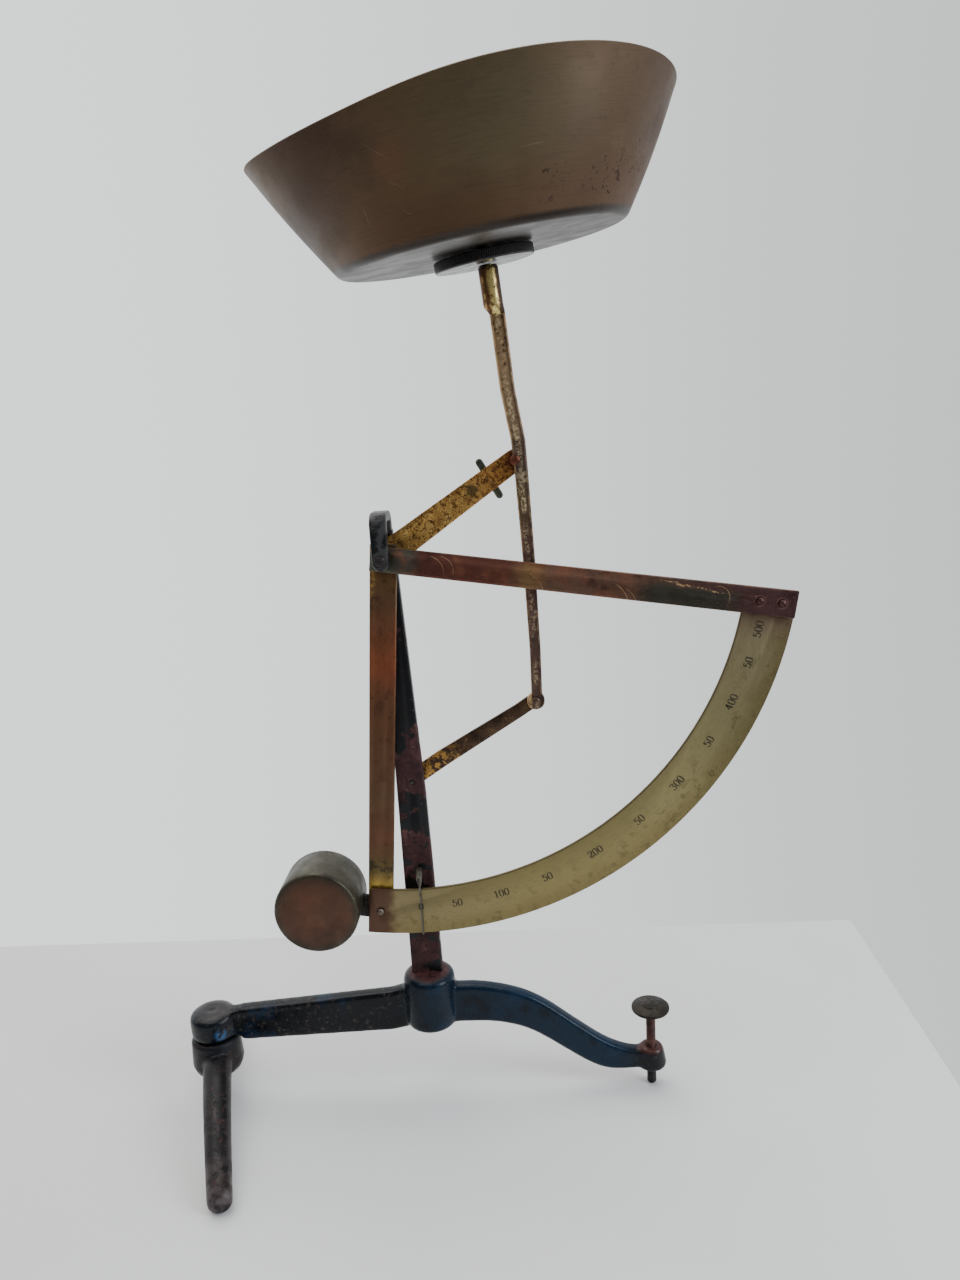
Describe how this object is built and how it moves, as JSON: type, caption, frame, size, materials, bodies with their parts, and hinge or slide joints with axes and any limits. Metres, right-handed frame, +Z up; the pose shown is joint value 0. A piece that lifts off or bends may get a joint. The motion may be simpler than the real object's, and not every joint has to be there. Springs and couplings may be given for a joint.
{
  "type": "brass weighing scale",
  "caption": "Antique quadrant weighing scale: a load in the round pan tilts a brass quadrant and counterweight past a fixed pointer, on an iron post with a levelling base.",
  "frame": {"origin": "on the floor, under the middle of the whole scale's bounding box", "axes": "+Z up, +X towards the levelling screw and the high end of the dial, -Y towards the front that carries the numbers"},
  "size_m": [0.2568, 0.12, 0.3748],
  "materials": {
    "copper_brown": "red-brown patina on a brass strip",
    "clip_metal": "grey-green steel",
    "base_enamel": "blue-black enamel, worn",
    "yellow_brass": "yellow brass with brown pitting",
    "bright_steel": "plain steel",
    "weight_brass": "red-brown face and greenish side",
    "dark_steel": "blackened steel",
    "tan_brass": "orange-brown patina with gold patches",
    "rusty_steel": "rusted steel",
    "head_iron": "dark olive-brown steel",
    "link_brass": "dark tarnished brass strip",
    "rod_brass": "tarnished brass bar",
    "pan_sheet": "spun brass darkened to a brown patina",
    "blackened_brass": "blackened turned brass with a polished underside",
    "socket_brass": "worn brass with dark tarnish",
    "post_paint": "black paint with rust patches",
    "dial_brass": "brushed olive brass dial",
    "foot_iron": "brown-black iron"
  },
  "bodies": {
    "base": {"base_casting": "base_enamel", "post": "post_paint", "pointer": "bright_steel", "main_pivot_pin": "dark_steel", "pivot_washer": "yellow_brass", "link_pin": "dark_steel", "foot_pivot_pin": "rusty_steel"},
    "foot": {"swivel_foot": "foot_iron"},
    "screw": {"levelling_screw": "rusty_steel"},
    "screw_head": {"levelling_head": "head_iron"},
    "quadrant": {"long_arm": "copper_brown", "down_arm": "tan_brass", "lever_arm": "yellow_brass", "scale_arc": "dial_brass", "quadrant_bush": "yellow_brass", "upper_rod_pin": "rusty_steel", "corner_rivet": "bright_steel", "arm_rivet_1": "copper_brown", "arm_rivet_2": "copper_brown", "balance_clip": "clip_metal", "clip_rivet": "yellow_brass", "counterweight": "weight_brass", "counterweight_lug": "dark_steel", "weight_screw": "bright_steel"},
    "rod": {"pan_rod": "rod_brass", "rod_socket": "socket_brass", "lower_rod_pin": "rod_brass"},
    "link": {"lower_link": "link_brass"},
    "pan_holder": {"pan_stem": "socket_brass"},
    "pan_top": {"pan": "pan_sheet", "pan_disc": "blackened_brass", "pan_rivet": "pan_sheet"}
  },
  "joints": [
    {"name": "quadrant_swing", "type": "hinge", "parent": "base", "child": "quadrant", "pos_m": [-0.02021, 0, 0.227], "axis": [0, 1, 0], "range_deg": [0, 75], "stiffness_Nm_per_rad": 0.1, "springref_deg": -41.25},
    {"name": "pan_rod_swing", "type": "hinge", "parent": "quadrant", "child": "rod", "pos_m": [0.02947, 0, 0.25938], "axis": [0, 1, 0], "range_deg": [-75, 0]},
    {"name": "lower_link_swing", "type": "hinge", "parent": "base", "child": "link", "pos_m": [-0.01691, 0, 0.138], "axis": [0, 1, 0], "range_deg": [0, 75]},
    {"name": "pan_lift", "type": "slide", "parent": "rod", "child": "pan_holder", "axis": [-0.0941, 0, 0.9956], "range_m": [0, 0.03]},
    {"name": "pan_turn", "type": "hinge", "parent": "pan_holder", "child": "pan_top", "pos_m": [0.02489, 0, 0.31], "axis": [-0.0941, 0, 0.9956], "continuous": true},
    {"name": "foot_swivel", "type": "hinge", "parent": "base", "child": "foot", "pos_m": [-0.10921, 0.006, 0], "axis": [0, 0, 1], "range_deg": [-105, 75]},
    {"name": "levelling_travel", "type": "slide", "parent": "base", "child": "screw", "axis": [0, 0, 1], "range_m": [-0.006, 0.006]},
    {"name": "levelling_turn", "type": "hinge", "parent": "screw", "child": "screw_head", "pos_m": [0.07359, 0.006, 0], "axis": [0, 0, 1], "range_deg": [-3000, 3000]}
  ],
  "couplings": [
    {"joint": "pan_rod_swing", "follows": "quadrant_swing", "ratio": -1},
    {"joint": "lower_link_swing", "follows": "quadrant_swing", "ratio": 1},
    {"joint": "levelling_travel", "follows": "levelling_turn", "m_per_rad": 0.0001114}
  ]
}
